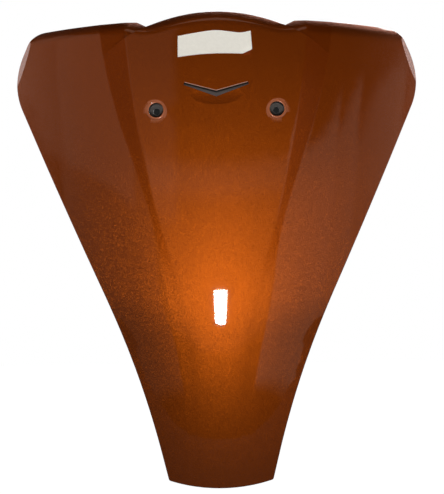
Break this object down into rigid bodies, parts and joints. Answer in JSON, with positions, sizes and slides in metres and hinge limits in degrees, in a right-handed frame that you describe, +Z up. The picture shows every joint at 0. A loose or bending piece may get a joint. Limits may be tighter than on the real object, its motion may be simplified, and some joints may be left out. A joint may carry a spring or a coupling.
{
  "type": "scooter front panel",
  "caption": "Front body panel of a scooter: thin painted moulding with a raised tongue, curved wings, bolt recesses, a V-shaped trim slot and a blank label on the hood.",
  "frame": {"origin": "midway between the two front bolt holes, on the rear faces of their bosses", "axes": "+X across the panel, +Y backwards out of the hollow side along the bolt holes, +Z up the panel; the painted front looks towards -Y"},
  "size_m": [0.4426, 0.1532, 0.5047],
  "materials": {
    "panel": "metallic copper-orange paint under clear lacquer",
    "trim": "satin dark grey",
    "label": "plain pale film"
  },
  "bodies": {
    "root": {"front_panel": "panel", "trim_insert": "trim", "label": "label"}
  },
  "joints": []
}
